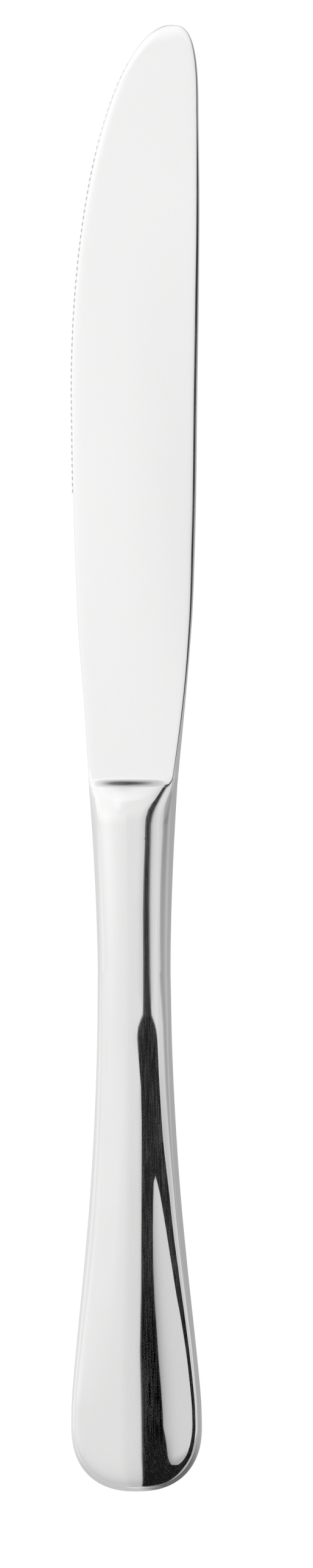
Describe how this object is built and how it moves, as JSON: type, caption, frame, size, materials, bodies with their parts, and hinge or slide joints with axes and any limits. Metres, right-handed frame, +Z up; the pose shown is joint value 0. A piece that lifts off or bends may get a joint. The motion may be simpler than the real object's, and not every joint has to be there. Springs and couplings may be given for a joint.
{
  "type": "table knife",
  "caption": "Table knife of polished steel: round-nosed blade with fine teeth along its edge, and a smooth hollow handle that narrows behind the shoulder and widens to a rounded end.",
  "frame": {"origin": "under the middle of the knife's length and width, on the surface that it lies on", "axes": "+Y along the knife to the tip of the blade, -X to the cutting edge, +X to the spine, +Z up through its thickness"},
  "size_m": [0.022, 0.24, 0.0072],
  "materials": {
    "blade_steel": "polished",
    "handle_steel": "polished",
    "braze": "polished",
    "filler": "matte"
  },
  "bodies": {
    "root": {"blade": "blade_steel", "shoulder_braze": "braze", "front_handle_shell": "handle_steel", "back_handle_shell": "handle_steel", "shell_seam_braze": "braze", "handle_filler": "filler"}
  },
  "joints": []
}
